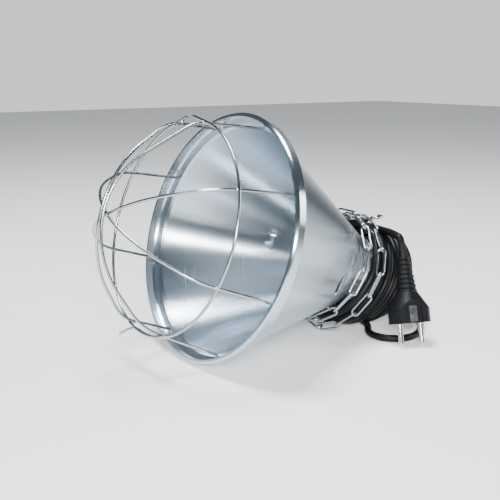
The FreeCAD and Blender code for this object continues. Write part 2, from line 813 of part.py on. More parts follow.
def hoop_crossing(middle, up, across, foot):
    """Where the wire's plane, near this foot, meets the circle on which the wires pass inside the hoop."""
    rise = (float(D.hoop_place) - middle.z) / up.z
    start = middle + up * rise
    flat = across - up * (across.z / up.z)
    a = flat.x ** 2 + flat.y ** 2
    b = 2 * (start.x * flat.x + start.y * flat.y)
    c = start.x ** 2 + start.y ** 2 - float(D.wire_at_hoop) ** 2
    root = math.sqrt(b * b - 4 * a * c)
    hits = [start + flat * ((-b + sign * root) / (2 * a)) for sign in (-1, 1)]
    return min(hits, key=lambda hit: hit.distanceToPoint(foot))


def stub_reach(foot, outward):
    """Length of the out-turned foot that brings the wire's end to the reach radius."""
    b = 2 * (foot.x * outward.x + foot.y * outward.y)
    c = foot.x ** 2 + foot.y ** 2 - float(D.foot_reach) ** 2
    return (-b + math.sqrt(b * b - 4 * c)) / 2


def make_guard():
    """Four crossing wires, welded to each other at the pole and to a hoop in two halves."""
    for index, (name, first, second, flat) in enumerate(GUARD_WIRES):
        crown = float(D.guard_depth) + index * float(D.wire_stack)
        node(seat(swept(name, guard_wire_path(first, second, flat, crown), D.guard_wire_radius)), name)

    # near half: sprung end at the top, round the near side, past the bottom, to a free tail
    radius, level = float(D.hoop_radius), float(D.hoop_place)
    near_end = polar(radius, 364, level)
    tail_points = [near_end, near_end + polar(11, 94), Vector(91.2, 28.5, level), Vector(98.0, 39.6, level)]
    tail, _ = rounded_path(tail_points)
    near_start = polar(radius, 190, level)
    spring_end = near_start + polar(D.hoop_spring_run, 100)
    near_wire = Part.Wire([
        Part.LineSegment(spring_end, near_start).toShape(),
        Part.Arc(near_start, polar(radius, 275, level), near_end).toShape(),
    ] + tail.Edges)
    node(seat(swept("guard_hoop_near", near_wire, D.guard_wire_radius)), "guard_hoop_near")

    # far half: sprung end at the top, round the far side, to an end beside the near half under the lamp
    shift = float(D.hoop_overlap_shift)
    points = [polar(radius, angle, level - shift * (1 + math.cos(math.radians(angle))) / 2)
              for angle in (156, 67, -22)]
    arc = Part.Arc(*points).toShape()
    spring_end = points[0] - arc.tangentAt(arc.FirstParameter) * float(D.hoop_spring_run)
    far_wire = Part.Wire([Part.LineSegment(spring_end, points[0]).toShape(), arc])
    node(seat(swept("guard_hoop_far", far_wire, D.guard_wire_radius)), "guard_hoop_far")


# ---------------------------------------------------------------- coil of cord, lead and tail

# sections of the coil, front to back: place along the axis, sag below it, outer radius, lean of the turns
COIL_SECTIONS = (
    (137.5, 4.0, 49.0, 13.0),
    (151.0, 6.2, 50.3, 10.0),
    (172.0, 6.0, 49.0, 6.0),
    (203.0, 1.4, 42.8, 2.0),
)

# the first stretch of cord, measured from below the mouth's centre: out of the gland, down to the floor,
# round a loose bight, under the coil
LEAD_ROUTE = (
    (213.0, 2.5, 34.5),
    (220.0, 0.0, 23.0),
    (221.0, -8.0, 12.0),
    (217.5, -21.0, 5.6),
    (211.0, -35.0, 3.7),
    (201.0, -48.0, 3.6),
    (187.0, -61.0, 3.5),
    (171.5, -69.6, 3.6),
    (158.6, -70.6, 3.5),
    (147.4, -65.4, 3.6),
    (141.0, -55.4, 3.5),
    (140.6, -43.6, 3.6),
    (146.4, -33.4, 3.7),
    (156.0, -25.0, 4.4),
    (166.0, -14.0, 6.0),
)

# the last stretch: off the top of the coil, across to the plug, and down into its strain relief
TAIL_ROUTE = (
    (174.5, 2.0, 89.0),
    (171.4, -17.0, 92.4),
    (168.7, -35.0, 93.0),
    (165.9, -53.0, 90.5),
)


def make_coil():
    """The outer shape of the wound cord: a sagging ring round the neck, clear of what it is wound on."""
    sections = []
    for index, (along, sag, radius, lean) in enumerate(COIL_SECTIONS):
        ring = doc.addObject("Part::Circle", "coil_section_%d" % index)
        ring.Radius = radius
        ring.Placement = Placement(Vector(sag, 0, along), Rotation(Vector(0, 1, 0), lean))
        sections.append(ring)
    loft = doc.addObject("Part::Loft", "coil_outside")
    loft.Sections = sections
    loft.Solid = True
    loft.Ruled = False
    gap = D.coil_clearance
    back = (D.cone_apex_radius + gap * 1.104 - D.neck_room) / D.cone_slope
    room = turned("coil_room", [
        (0, 60),
        (cone_radius(60) + gap * 1.104, 60),
        (D.neck_room, back),
        (D.neck_room, 240),
        (0, 240),
    ])
    node(seat(cut("cord_coil", loft, room)), "cord_coil")


def cord_tube(name, points):
    wire, radii = rounded_path(points)
    tube = swept(name, wire, D.cord_radius)
    want = wire.Length * math.pi * float(D.cord_radius) ** 2
    print("%s: %.0f mm long, volume %.4f of section times length, bend radii %s" % (
        name, wire.Length, tube.Shape.Volume / want, ", ".join("%.0f" % radius for radius in radii)))
    return node(tube, name)


def make_cord():
    exit_point = LAMP.multVec(Vector(0, 0, float(D.gland_exit)))
    lead = [exit_point, exit_point + AXIS * 11] + [MOUTH + Vector(*point) for point in LEAD_ROUTE]
    cord_tube("cord_lead", lead)
    entry = PLUG.multVec(Vector(0, 0, float(D.plug_length)))
    cord_tube("cord_tail", [MOUTH + Vector(*point) for point in TAIL_ROUTE] + [entry])


# ---------------------------------------------------------------- chain

def chain_link():
    """A straight link along x, centred, flat in the xy plane."""
    wire_radius = float(D.chain_wire_radius)
    half_width = float(D.chain_half_width)
    straight = (float(D.chain_pitch) + 2 * wire_radius + float(D.link_play)) / 2 - half_width
    corners = [Vector(sx * straight, sy * half_width, 0) for sx, sy in ((-1, -1), (1, -1), (1, 1), (-1, 1))]
    path = Part.Wire([
        Part.LineSegment(corners[0], corners[1]).toShape(),
        Part.Arc(corners[1], Vector(straight + half_width, 0, 0), corners[2]).toShape(),
        Part.LineSegment(corners[2], corners[3]).toShape(),
        Part.Arc(corners[3], Vector(-straight - half_width, 0, 0), corners[0]).toShape(),
    ])
    section = Part.Wire(Part.Circle(corners[0], Vector(1, 0, 0), wire_radius).toShape())
    return path.makePipeShell([section], True, False)


def link_between(first, second, outward, roll):
    """A link whose ends lie round two joint points, rolled about its length from facing outward."""
    along = (second - first).normalize()
    out = (outward - along * outward.dot(along)).normalize()
    rotation = Rotation(along, out.cross(along), out, "ZXY")
    link = chain_link()
    link.Placement = Placement((first + second) / 2, rotation * Rotation(Vector(1, 0, 0), roll))
    return link


def chain_point(turns):
    """A joint of the chain, and its round's centre: the first is on the cone, the second over the coil."""
    angle = CHAIN_START + 360 * turns
    share = min(max((turns - 0.86) / 0.28, 0.0), 1.0)
    share = share * share * (3 - 2 * share)
    radius = 51.8 + share * (2.4 - chain_sink(angle))
    sag = 3.2 + share * 3.3
    lean = math.cos(math.radians(angle))
    end_share = min(max((turns - 1.75) / 0.45, 0.0), 1.0)
    along = 127.5 - 10.5 * lean + share * (18.5 + 5.5 * lean) + 11.0 * end_share
    return polar(radius, angle, along) + Vector(sag, 0, 0), Vector(sag, 0, along)


CHAIN_START = 96.0
CHAIN_LINKS = 34
TWIST_FROM_LINK = 25
TWIST_PER_LINK = 7.0

# the second round sinks between the turns of cord on the plug's side: where, how far round, how deep
CHAIN_SINK_ANGLE = 310.0
CHAIN_SINK_SPREAD = 50.0
CHAIN_SINK = 4.2


def chain_sink(angle):
    offset = abs((angle - CHAIN_SINK_ANGLE + 180) % 360 - 180)
    return CHAIN_SINK * math.cos(math.radians(90 * min(offset / CHAIN_SINK_SPREAD, 1.0)))


def chain_joints(links):
    """Turns at which the chain's joints lie, one pitch apart in a straight line."""
    joints = [0.0]
    while len(joints) <= links:
        start = chain_point(joints[-1])[0]
        low, high = joints[-1], joints[-1] + 0.12
        for _ in range(40):
            middle = (low + high) / 2
            if (chain_point(middle)[0] - start).Length < float(D.chain_pitch):
                low = middle
            else:
                high = middle
        joints.append(low)
    return joints


def link_roll(index):
    """Neighbours stand across each other; the first lies flat in its eye, the last twist to the hook."""
    if index == 0:
        return 0
    twist = TWIST_PER_LINK * max(index - TWIST_FROM_LINK, 0)
    return (62 if index % 2 else -30) + twist


def make_chain():
    """Long-link chain wound twice round the lamp, from an eye on the cone to a hook on the coil."""
    joints = chain_joints(CHAIN_LINKS)
    rounds = {"chain_first_round": [], "chain_second_round": []}
    for index in range(CHAIN_LINKS):
        first, centre_1 = chain_point(joints[index])
        second, centre_2 = chain_point(joints[index + 1])
        outward = (first + second) - (centre_1 + centre_2)
        link = link_between(first, second, outward, link_roll(index))
        rounds["chain_first_round" if joints[index] < 1.0 else "chain_second_round"].append(link)
    for name, links in rounds.items():
        node(seat(feature(name, Part.makeCompound(links))), name)
    make_chain_eye()
    make_chain_hook(joints)


def eye_frame():
    """Frame of the chain's eye, z out of the cone and y along the first link, and the height of its hole."""
    joints = chain_joints(1)
    start, _ = chain_point(joints[0])
    after, _ = chain_point(joints[1])
    lean = math.atan(float(D.cone_slope))
    radial = Vector(start.x, start.y, 0).normalize()
    normal = (radial * math.cos(lean) + Vector(0, 0, math.sin(lean))).normalize()
    along = (after - start).normalize()
    height = (math.hypot(start.x, start.y) - float(cone_radius(start.z))) * math.cos(lean)
    base = start - along * 0.2 - normal * height
    return Placement(base, Rotation(along, normal.cross(along), normal, "ZXY")), height


def rivet_hole(name, radius):
    """Hole for the eye's rivet, through the eye's foot and the cone."""
    hole = cylinder(name, radius, 8)
    return put(hole, eye_frame()[0] * Placement(Vector(0, float(D.eye_rivet_place), -4), Rotation()))


def make_chain_eye():
    """Angle lug riveted to the cone: an upright ear with the hole that the first link goes through."""
    frame, height = eye_frame()
    wall = float(D.eye_wall)
    ear = box("eye_ear", 2 * D.eye_radius, D.eye_wall, height, z=0)
    disc = cylinder("eye_disc", D.eye_radius, D.eye_wall, y=D.eye_wall / 2, z=height,
                    rotation=Rotation(Vector(1, 0, 0), 90))
    base = box("eye_base", 2 * D.eye_radius, 12, 1.2, y=6 - wall / 2, z=0)
    hole = cylinder("eye_hole", D.eye_hole_radius, 6, y=3, z=height, rotation=Rotation(Vector(1, 0, 0), 90))
    foot_hole = cylinder("eye_foot_hole", 1.6, 4, y=D.eye_rivet_place, z=-1)
    eye = cut("chain_eye", fuse("eye_blank", [ear, disc, base]), group("eye_holes", [hole, foot_hole]))
    eye.Placement = LAMP * frame
    node(eye, "chain_eye")
    shank = cylinder("eye_rivet_shank", 1.55, 3.2, y=D.eye_rivet_place, z=-1.6)
    dome = cylinder("eye_rivet_dome", 2.8, 0.9, y=D.eye_rivet_place, z=1.2)
    tail = cylinder("eye_rivet_tail", 2.4, 0.7, y=D.eye_rivet_place, z=-1.7)
    rivet = fuse("chain_eye_rivet", [shank, dome, tail])
    rivet.Placement = LAMP * frame
    node(rivet, "chain_eye_rivet")


def make_chain_hook(joints):
    """S-hook hanging from the last link, lying over the coil towards the neck."""
    before, _ = chain_point(joints[-2])
    last, centre = chain_point(joints[-1])
    along = (last - before).normalize()
    up = (last - centre).normalize()
    up = (up - along * up.dot(along)).normalize()
    length = along.cross(up)
    if length.z < 0:
        length = length * -1
    rise = math.radians(float(D.hook_rise))
    length = length * math.cos(rise) + up * math.sin(rise)
    pivot = last + along * (float(D.chain_wire_radius) + float(D.link_play) / 2)
    small, large = float(D.hook_small_radius), float(D.hook_large_radius)
    wire_radius = float(D.hook_wire_radius)
    eye = pivot + along * (small - wire_radius - float(D.chain_wire_radius) - float(D.hook_play))
    bend = eye + length * small
    bow = bend + length * large

    def at(centre_point, radius, degrees):
        turn = math.radians(degrees)
        return centre_point + length * (radius * math.cos(turn)) + along * (radius * math.sin(turn))

    wire = Part.Wire([
        Part.Arc(at(bow, large, -30), at(bow, large, 80), bend).toShape(),
        Part.Arc(bend, at(eye, small, -150), at(eye, small, 60)).toShape(),
    ])
    node(seat(swept("chain_hook", wire, D.hook_wire_radius)), "chain_hook")
    print("hook pivot", LAMP.multVec(pivot), "axis", LAMP.Rotation.multVec(length.cross(along)))


# ---------------------------------------------------------------- plug

PLUG = Placement(
    MOUTH + Vector(float(D.plug_x), float(D.plug_y), float(D.plug_z)),
    Rotation(Vector(0, 0, 1), float(D.plug_turn))
    * Rotation(Vector(0, 1, 0), -float(D.plug_lean))
    * Rotation(Vector(1, 0, 0), -float(D.plug_back)),
)


def seat_plug(obj):
    obj.Placement = PLUG
    return obj


def grip_outline():
    """Tapered grip with rounded-off rings between V grooves, from the shoulder to the cord."""
    start, end = D.plug_shoulder_end, D.plug_length
    count = int(float(D.grip_grooves))
    corners = [(0, start), (D.plug_grip_radius, start)]
    for index in range(count):
        middle = (index + 0.8) / (count + 0.6)
        half = 0.95 / float(end - start)
        for share, depth in ((middle - half, 0.0), (middle, 0.9), (middle + half, 0.0)):
            radius = D.plug_grip_radius + (D.plug_end_radius - D.plug_grip_radius) * share
            corners.append((radius - depth, start + (end - start) * share))
    return corners + [(D.plug_end_radius, end), (0, end)]


def make_plug():
    """Two-pin earthed plug, face down on its pins: z runs from the face to the cord, x across the pins."""
    head = common("plug_head", [
        cylinder("plug_drum", D.plug_head_radius, D.plug_head_height),
        box("plug_flats", 40, D.plug_head_depth, D.plug_head_height),
    ])
    shoulder_height = D.plug_shoulder_end - D.plug_head_height
    shoulder = common("plug_shoulder", [
        cone("plug_shoulder_cone", D.plug_head_radius, D.plug_grip_radius, shoulder_height,
             z=D.plug_head_height),
        box("plug_shoulder_flats", 40, D.plug_head_depth, shoulder_height, z=D.plug_head_height),
    ])
    recesses = [box("clip_recess_%d" % side, 15, 3.4, 17, y=side * (D.plug_head_depth / 2), z=-1)
                for side in (-1, 1)]
    earth_socket = cylinder("earth_socket", 2.5, 16, y=-8.2, z=-1)
    bores = [cylinder("pin_bore_%d" % side, D.pin_stub_radius, 1 + D.pin_stub_length,
                      x=side * (D.pin_spacing / 2), z=-1) for side in (-1, 1)]
    body = cut("plug_body", fuse("plug_blank", [head, shoulder]),
               group("plug_cuts", recesses + bores + [earth_socket]))
    node(seat_plug(body), "plug_body")

    pins = []
    for side in (-1, 1):
        where = side * (D.pin_spacing / 2)
        shank = cylinder("pin_shank_%d" % side, D.pin_radius, D.pin_length - D.pin_tip_length, x=where,
                         z=D.pin_tip_length - D.pin_length)
        stub = cylinder("pin_stub_%d" % side, D.pin_stub_radius, D.pin_stub_length, x=where)
        tip = cone("pin_tip_%d" % side, D.pin_radius - D.pin_tip_length, D.pin_radius, D.pin_tip_length,
                   x=where, z=-1 * D.pin_length)
        pins.append(fuse("pin_%d" % side, [shank, stub, tip]))
    node(seat_plug(group("plug_pins", pins)), "plug_pins")

    clips = []
    for side in (-1, 1):
        plate = box("clip_plate_%d" % side, 6.5, 0.8, 14, y=side * (D.plug_head_depth / 2 - 1.3), z=1.0)
        clips.append(plate)
    node(seat_plug(group("plug_earth_clips", clips)), "plug_earth_clips")

    relief = turned("plug_strain_relief", grip_outline())
    node(seat_plug(relief), "plug_strain_relief")


make_shade()
make_neck_cap()
make_lampholder()
make_bracket()
make_gland()
make_inner_cord()
make_guard()
make_coil()
make_plug()
make_cord()
make_chain()
doc.recompute()


# ---------------------------------------------------------------- check and write

def check():
    for obj in doc.Objects:
        if "Invalid" in obj.State or "Error" in obj.State:
            raise RuntimeError("%s (%s) failed: %s" % (obj.Name, obj.Label, obj.State))
    for obj in nodes:
        if obj.Shape.isNull() or not obj.Shape.isValid():
            raise RuntimeError("%s has a bad shape" % obj.Label)
        if not obj.Shape.Solids:
            raise RuntimeError("%s holds no solid" % obj.Label)


check()
os.makedirs("parts", exist_ok=True)
for obj in nodes:
    obj.Shape.exportStep(os.path.join("parts", obj.Label + ".step"))
    print("%-22s solids %2d  volume %9.1f mm3" % (obj.Label, len(obj.Shape.Solids), obj.Shape.Volume))
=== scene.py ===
import json
import math
import random

import bpy
from mathutils import Matrix, Vector


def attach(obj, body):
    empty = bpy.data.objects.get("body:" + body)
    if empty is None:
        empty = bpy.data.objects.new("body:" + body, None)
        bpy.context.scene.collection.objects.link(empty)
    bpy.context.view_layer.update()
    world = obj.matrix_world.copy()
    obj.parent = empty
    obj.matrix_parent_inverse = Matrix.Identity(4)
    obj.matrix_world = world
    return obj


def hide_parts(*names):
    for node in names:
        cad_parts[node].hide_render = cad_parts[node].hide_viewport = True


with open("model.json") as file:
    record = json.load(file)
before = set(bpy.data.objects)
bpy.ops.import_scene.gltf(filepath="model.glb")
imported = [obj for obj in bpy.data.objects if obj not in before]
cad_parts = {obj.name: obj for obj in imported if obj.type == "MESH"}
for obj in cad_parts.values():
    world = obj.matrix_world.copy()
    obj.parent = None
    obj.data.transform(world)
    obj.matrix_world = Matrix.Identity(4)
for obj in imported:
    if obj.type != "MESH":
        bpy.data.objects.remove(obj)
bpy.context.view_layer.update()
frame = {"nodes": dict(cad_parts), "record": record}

MM = 0.001

# the lamp lies on its rim: its own frame has z from the mouth to the neck, x down and y to the far side
LIE = math.radians(16.9)
BAND_RADIUS = 105.2
BAND_BACK = 8.0
MOUTH = Vector((-43.0, 0.0, BAND_RADIUS * math.cos(LIE) + BAND_BACK * math.sin(LIE)))
LAMP = Matrix.Translation(MOUTH * MM) @ Matrix.Rotation(math.pi / 2 + LIE, 4, "Y")
AXIS = LAMP.to_3x3() @ Vector((0, 0, 1))


def polar(radius, degrees, along=0.0):
    """A point in the lamp frame, in millimetres: 0 degrees is down, 90 the far side."""
    turn = math.radians(degrees)
    return Vector((radius * math.cos(turn), radius * math.sin(turn), along))


def from_lamp(point):
    """Lamp frame in millimetres to the row frame in metres."""
    return LAMP @ (Vector(point) * MM)


def under_mouth(point):
    """Millimetres measured from below the mouth's centre to the row frame in metres."""
    return (Vector(point) + Vector((MOUTH.x, 0, 0))) * MM


# ---------------------------------------------------------------- camera, light, floor

CAMERA_LENS = 60.71
CAMERA_SENSOR = 36.0
CAMERA_NEAR = 0.01
CAMERA_PLACE = (-372.2, -573.4, 239.1)
CAMERA_AZIMUTH = -35.57
CAMERA_ELEVATION = 12.21

# where the pale backdrop lies as seen from the lamp, and how squarely one must look at it to see it pale
BACKDROP_DIRECTION = (0.58, 0.81, -0.10)
BACKDROP_EDGE = (0.82, 0.94)
BACKDROP_COLOUR = (1.0, 1.0, 1.0, 1)
ROOM_COLOUR = (0.10, 0.12, 0.135, 1)

# name, place, target, width and height in metres, and power in watts
LIGHTS = (
    ("strip_front", (-0.70, -1.0, 0.52), (0, 0, 0.08), 0.55, 0.14, 26),
    ("softbox_top", (-0.1, 0.15, 1.5), (0, 0, 0), 0.5, 0.5, 38),
    ("strip_right", (1.0, -0.7, 0.5), (0, 0, 0.1), 0.15, 0.5, 7),
)

FLOOR_HALF = 4.0
FLOOR_COLOUR = (0.93, 0.935, 0.94, 1)
FLOOR_ROUGHNESS = 0.7
FLOOR_GLOW = (0.93, 0.94, 0.95, 1)
FLOOR_GLOW_STRENGTH = 0.32


def make_camera():
    """The camera stands before the near side of the mouth, a little above the lamp."""
    data = bpy.data.cameras.new("camera")
    data.lens = CAMERA_LENS
    data.sensor_width = CAMERA_SENSOR
    data.clip_start = CAMERA_NEAR
    camera = bpy.data.objects.new("camera", data)
    bpy.context.scene.collection.objects.link(camera)
    camera.location = under_mouth(CAMERA_PLACE)
    azimuth, elevation = math.radians(CAMERA_AZIMUTH), math.radians(CAMERA_ELEVATION)
    forward = Vector((
        -math.sin(azimuth) * math.cos(elevation),
        math.cos(azimuth) * math.cos(elevation),
        -math.sin(elevation),
    ))
    camera.rotation_euler = forward.to_track_quat("-Z", "Y").to_euler()
    bpy.context.scene.camera = camera


def area_light(name, location, target, width, height, power):
    data = bpy.data.lights.new(name, "AREA")
    data.energy = power
    data.shape = "RECTANGLE"
    data.size = width
    data.size_y = height
    light = bpy.data.objects.new(name, data)
    bpy.context.scene.collection.objects.link(light)
    light.location = location
    light.rotation_euler = (Vector(target) - Vector(location)).to_track_quat("-Z", "Y").to_euler()


def make_room():
    """A dim room with a pale backdrop behind the lamp."""
    world = bpy.data.worlds.new("studio")
    world.use_nodes = True
    tree = world.node_tree
    facing = tree.nodes.new("ShaderNodeVectorMath")
    facing.operation = "DOT_PRODUCT"
    facing.inputs[1].default_value = BACKDROP_DIRECTION
    fade = tree.nodes.new("ShaderNodeMapRange")
    fade.interpolation_type = "SMOOTHSTEP"
    blend = tree.nodes.new("ShaderNodeMix")
    blend.data_type = "RGBA"
    tree.links.new(tree.nodes.new("ShaderNodeTexCoord").outputs["Generated"], facing.inputs[0])
    tree.links.new(facing.outputs["Value"], fade.inputs["Value"])
    fade.inputs["From Min"].default_value, fade.inputs["From Max"].default_value = BACKDROP_EDGE
    tree.links.new(fade.outputs["Result"], blend.inputs["Factor"])
    blend.inputs[6].default_value = ROOM_COLOUR
    blend.inputs[7].default_value = BACKDROP_COLOUR
    tree.links.new(blend.outputs[2], tree.nodes["Background"].inputs["Color"])
    tree.nodes["Background"].inputs["Strength"].default_value = 1.0
    bpy.context.scene.world = world


def make_floor():
    """A plain pale floor with a faint glow, so that it stays pale far from the lights."""
    mesh = bpy.data.meshes.new("floor")
    half = FLOOR_HALF
    corners = [(-half, -half, 0), (half, -half, 0), (half, half, 0), (-half, half, 0)]
    mesh.from_pydata(corners, [], [(0, 1, 2, 3)])
    floor = bpy.data.objects.new("floor", mesh)
    bpy.context.scene.collection.objects.link(floor)
    paint = bpy.data.materials.new("floor")
    paint.use_nodes = True
    shader = paint.node_tree.nodes["Principled BSDF"]
    shader.inputs["Base Color"].default_value = FLOOR_COLOUR
    shader.inputs["Roughness"].default_value = FLOOR_ROUGHNESS
    shader.inputs["Emission Color"].default_value = FLOOR_GLOW
    shader.inputs["Emission Strength"].default_value = FLOOR_GLOW_STRENGTH
    mesh.materials.append(paint)


# ---------------------------------------------------------------- mains lead

CORD_DIAMETER = 6.6
GLAND_EXIT = 200.0
GLAND_RUN = 11.0         # straight out of the gland before the lead bends

# out of the gland, down to the floor, round a loose bight and in under the coil;
# the places of the lead and tail are measured from below the mouth's centre
LEAD_ROUTE = (
    (213.0, 2.5, 34.5),
    (220.0, 0.0, 23.0),
    (221.0, -8.0, 12.0),
    (217.5, -21.0, 5.6),
    (211.0, -35.0, 3.7),
    (201.0, -48.0, 3.6),
    (187.0, -61.0, 3.5),
    (171.5, -69.6, 3.6),
    (158.6, -70.6, 3.5),
    (147.4, -65.4, 3.6),
    (141.0, -55.4, 3.5),
    (140.6, -43.6, 3.6),
    (146.4, -33.4, 3.7),
    (156.0, -25.0, 4.4),
)

# off the top of the coil, across to the plug
TAIL_ROUTE = (
    (170.0, -26.0, 93.0),
    (168.7, -35.0, 93.0),
    (167.4, -44.0, 92.0),
    (165.9, -53.0, 90.5),
)

# the wound turns: turn number, place along the lamp, radius and how far the loop sags below the neck
WINDING = (
    (0.00, 187.0, 42.5, 3.6),
    (0.55, 191.0, 40.0, 3.2),
    (1.00, 196.0, 39.6, 3.0),
    (1.55, 199.5, 39.8, 3.0),
    (1.90, 197.0, 40.5, 2.9),
    (2.10, 193.5, 41.5, 3.0),
    (2.55, 190.0, 45.0, 3.6),
    (3.05, 185.5, 44.4, 3.4),
    (3.55, 182.0, 45.8, 4.6),
    (4.05, 177.0, 45.2, 4.2),
    (4.55, 174.0, 46.4, 5.4),
    (5.05, 169.0, 46.2, 5.4),
    (5.55, 166.0, 46.4, 5.8),
    (6.05, 160.0, 46.6, 6.0),
    (6.55, 157.5, 46.4, 5.8),
    (7.05, 151.0, 46.6, 5.6),
    (7.55, 147.6, 45.8, 4.4),
    (8.05, 141.6, 46.4, 4.6),
    (8.15, 142.6, 48.0, 4.4),
    (8.36, 156.0, 49.0, 4.2),
    (8.55, 169.0, 46.5, 3.6),
)
WINDING_START = 343.0
WINDING_TURNS = 8.56
POINTS_PER_TURN = 20

# a loop leans most at the front of the coil and less towards the gland
LEAN = 11.0
LEAN_FROM = 140.0
LEAN_PER_MM = 0.15


def winding_at(turns):
    """Place, radius and sag at a turn number, eased between the entries of WINDING."""
    for before, after in zip(WINDING, WINDING[1:]):
        if turns <= after[0]:
            break
    share = min(max((turns - before[0]) / (after[0] - before[0]), 0.0), 1.0)
    return [a + (b - a) * share for a, b in zip(before[1:], after[1:])]


def winding_points():
    """Points of the turns, in the lamp frame: each loop leans, sags and wavers a little differently."""
    rng = random.Random(7)
    phases = [rng.uniform(0, math.tau) for _ in range(4)]
    count = int(WINDING_TURNS * POINTS_PER_TURN)
    points = []
    for index in range(1, count + 1):
        turns = WINDING_TURNS * index / (count + 1)
        along, radius, sag = winding_at(turns)
        lean = LEAN - (along - LEAN_FROM) * LEAN_PER_MM
        degrees = WINDING_START + 360.0 * turns
        waver = 0.5 * math.sin(1.7 * turns * math.tau / 2 + phases[0])
        waver += 0.4 * math.sin(4.3 * turns + phases[1])
        point = polar(radius + 0.4 * math.sin(3.1 * turns + phases[2]), degrees, along + waver)
        point += Vector((sag, 0, -lean * math.cos(math.radians(degrees))))
        points.append(point)
    return points


def make_cord(plug_end):
    """The whole lead as one cord: gland, bight on the floor, wound turns, tail and plug."""
    exit_point = from_lamp((0, 0, GLAND_EXIT))
    points = [exit_point, exit_point + AXIS * GLAND_RUN * MM]
    points += [under_mouth(point) for point in LEAD_ROUTE]
    points += [from_lamp(point) for point in winding_points()]
    points += [under_mouth(point) for point in TAIL_ROUTE]
    points.append(plug_end)
    curve = bpy.data.curves.new("mains_lead", "CURVE")
    curve.dimensions = "3D"
    spline = curve.splines.new("NURBS")
    spline.points.add(len(points) - 1)
    for control, point in zip(spline.points, points):
        control.co = (*point, 1)
        control.radius = CORD_DIAMETER / 2 * MM
    spline.order_u = 3
    spline.use_endpoint_u = True
    spline.resolution_u = 6
    curve.bevel_depth = 1.0
    curve.bevel_resolution = 5
    curve.use_fill_caps = True
    cord = bpy.data.objects.new("mains_lead", curve)
    bpy.context.scene.collection.objects.link(cord)
    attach(cord, "lamp")
    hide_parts("cord_lead", "cord_coil", "cord_tail")
    return cord


PLUG = (
    Matrix.Translation(under_mouth((157.6, -75.0, 18.75)))
    @ Matrix.Rotation(math.radians(-26.1), 4, "Z")
    @ Matrix.Rotation(math.radians(-1.8), 4, "Y")
    @ Matrix.Rotation(math.radians(-18.0), 4, "X")
)


# ---------------------------------------------------------------- finishes

class Finish:
    """A procedural material built round one Principled shader; keywords are its sockets."""

    def __init__(self, name, colour, **sockets):
        self.name = name
        self.material = bpy.data.materials.new(name)
        self.material.use_nodes = True
        self.material.diffuse_color = (*colour, 1)
        self.nodes = self.material.node_tree.nodes
        self.links = self.material.node_tree.links
        self.shader = self.nodes["Principled BSDF"]
        self.colour = (*colour, 1)
        self.shader.inputs["Base Color"].default_value = self.colour
        for socket, value in sockets.items():
            self.shader.inputs[socket.replace("_", " ")].default_value = value

    def add(self, kind, **settings):
        """A new shader node of a kind, with its settings."""
        made = self.nodes.new("ShaderNode" + kind)
        for name, value in settings.items():
            setattr(made, name, value)
        return made

    def feed(self, target, source):
        """Give a socket a plain value or another node's output."""
        if isinstance(source, (int, float, tuple, Vector)):
            target.default_value = source
        else:
            self.links.new(source, target)

    def place(self):
        return self.add("TexCoord").outputs["Object"]

    def vector(self, operation, *terms, out="Vector"):
        """The result of a vector sum or product."""
        step = self.add("VectorMath", operation=operation)
        for socket, term in zip(step.inputs, terms):
            self.feed(socket, term)
        return step.outputs[out]

    def noise(self, scale, detail=3.0, where=None, roughness=0.55):
        """Cloudy noise over the piece, or along a vector when one is given."""
        cloud = self.add("TexNoise")
        self.feed(cloud.inputs["Vector"], self.place() if where is None else where)
        cloud.inputs["Scale"].default_value = scale
        cloud.inputs["Detail"].default_value = detail
        cloud.inputs["Roughness"].default_value = roughness
        return cloud.outputs["Fac"]

    def spread(self, source, low, high, start=0.3, end=0.7):
        """The source's middle range stretched to run from low to high."""
        step = self.add("MapRange")
        self.feed(step.inputs["Value"], source)
        for socket, value in (("From Min", start), ("From Max", end), ("To Min", low), ("To Max", high)):
            step.inputs[socket].default_value = value
        return step.outputs["Result"]

    def tint(self, share, colour):
        """Base colour drawn towards another by a share."""
        blend = self.add("Mix", data_type="RGBA")
        self.feed(blend.inputs["Factor"], share)
        self.feed(blend.inputs[6], self.colour)
        self.feed(blend.inputs[7], (*colour, 1))
        self.feed(self.shader.inputs["Base Color"], blend.outputs[2])
        return self

    def rough(self, source, low, high):
        self.feed(self.shader.inputs["Roughness"], self.spread(source, low, high))
        return self

    def bump(self, height, distance, strength=1.0):
        relief = self.add("Bump")
        self.feed(relief.inputs["Height"], height)
        relief.inputs["Distance"].default_value = distance
        relief.inputs["Strength"].default_value = strength
        self.feed(self.shader.inputs["Normal"], relief.outputs["Normal"])
        return self


def along_lamp(finish):
    """Distance from the mouth along the lamp's axis, in metres, and the vector from the mouth's centre."""
    arm = finish.vector("SUBTRACT", finish.place(), MOUTH * MM)
    return finish.vector("DOT_PRODUCT", arm, AXIS, out="Value"), arm


def spun_metal(name, colour, rings, low, high):
    """Spun sheet: fine rings round the lamp's axis that draw highlights out along the cone."""
    finish = Finish(name, colour, Metallic=1.0, Anisotropic=0.9, Anisotropic_Rotation=0.25)
    along, arm = along_lamp(finish)
    tangent = finish.vector("NORMALIZE", finish.vector("CROSS_PRODUCT", AXIS, arm))
    finish.feed(finish.shader.inputs["Tangent"], tangent)
    step = finish.add("CombineXYZ")
    finish.feed(step.inputs["X"], along)
    ring = finish.noise(rings, 4.0, step.outputs["Vector"])
    broad = finish.noise(70.0, 2.0, step.outputs["Vector"])
    cloud = finish.noise(22.0, 3.0)
    finish.rough(finish.vector("ADD", finish.vector("MULTIPLY", ring, (0.7, 0.7, 0.7)),
                               finish.vector("MULTIPLY", cloud, (0.3, 0.3, 0.3))), low, high)
    finish.tint(finish.spread(broad, 0.0, 0.35), (colour[0] * 0.86, colour[1] * 0.88, colour[2] * 0.92))
    return finish.bump(ring, 0.00002, 0.2)


